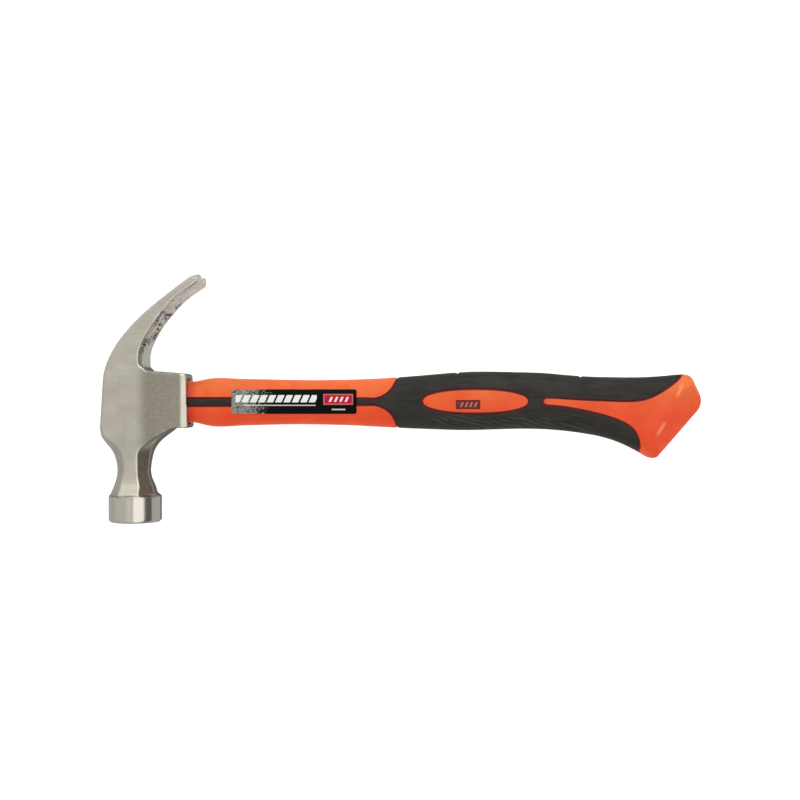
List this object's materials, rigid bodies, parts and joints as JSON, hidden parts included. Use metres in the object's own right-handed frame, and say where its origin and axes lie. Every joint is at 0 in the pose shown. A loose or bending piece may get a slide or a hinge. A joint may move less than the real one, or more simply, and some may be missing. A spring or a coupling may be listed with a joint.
{
  "type": "claw hammer",
  "caption": "Curved-claw carpenter's hammer with a forged steel head, a fibreglass core and a hard plastic handle with a soft overmoulded grip.",
  "frame": {"origin": "middle of the underside of the bounding box, with the hammer lying on its side", "axes": "+X along the handle from head to butt, +Y from the striking face to the claw tips, +Z through the hammer's thickness, up as it lies"},
  "size_m": [0.3288, 0.1362, 0.029],
  "materials": {
    "forged_steel": "satin",
    "fibreglass": "satin",
    "epoxy": "gloss",
    "orange_plastic": "satin",
    "soft_grip": "matte",
    "label_film": "gloss"
  },
  "bodies": {
    "root": {"head": "forged_steel", "fibreglass_core": "fibreglass", "epoxy_bond": "epoxy", "handle_jacket": "orange_plastic", "grip_overmould": "soft_grip", "label": "label_film"}
  },
  "joints": []
}
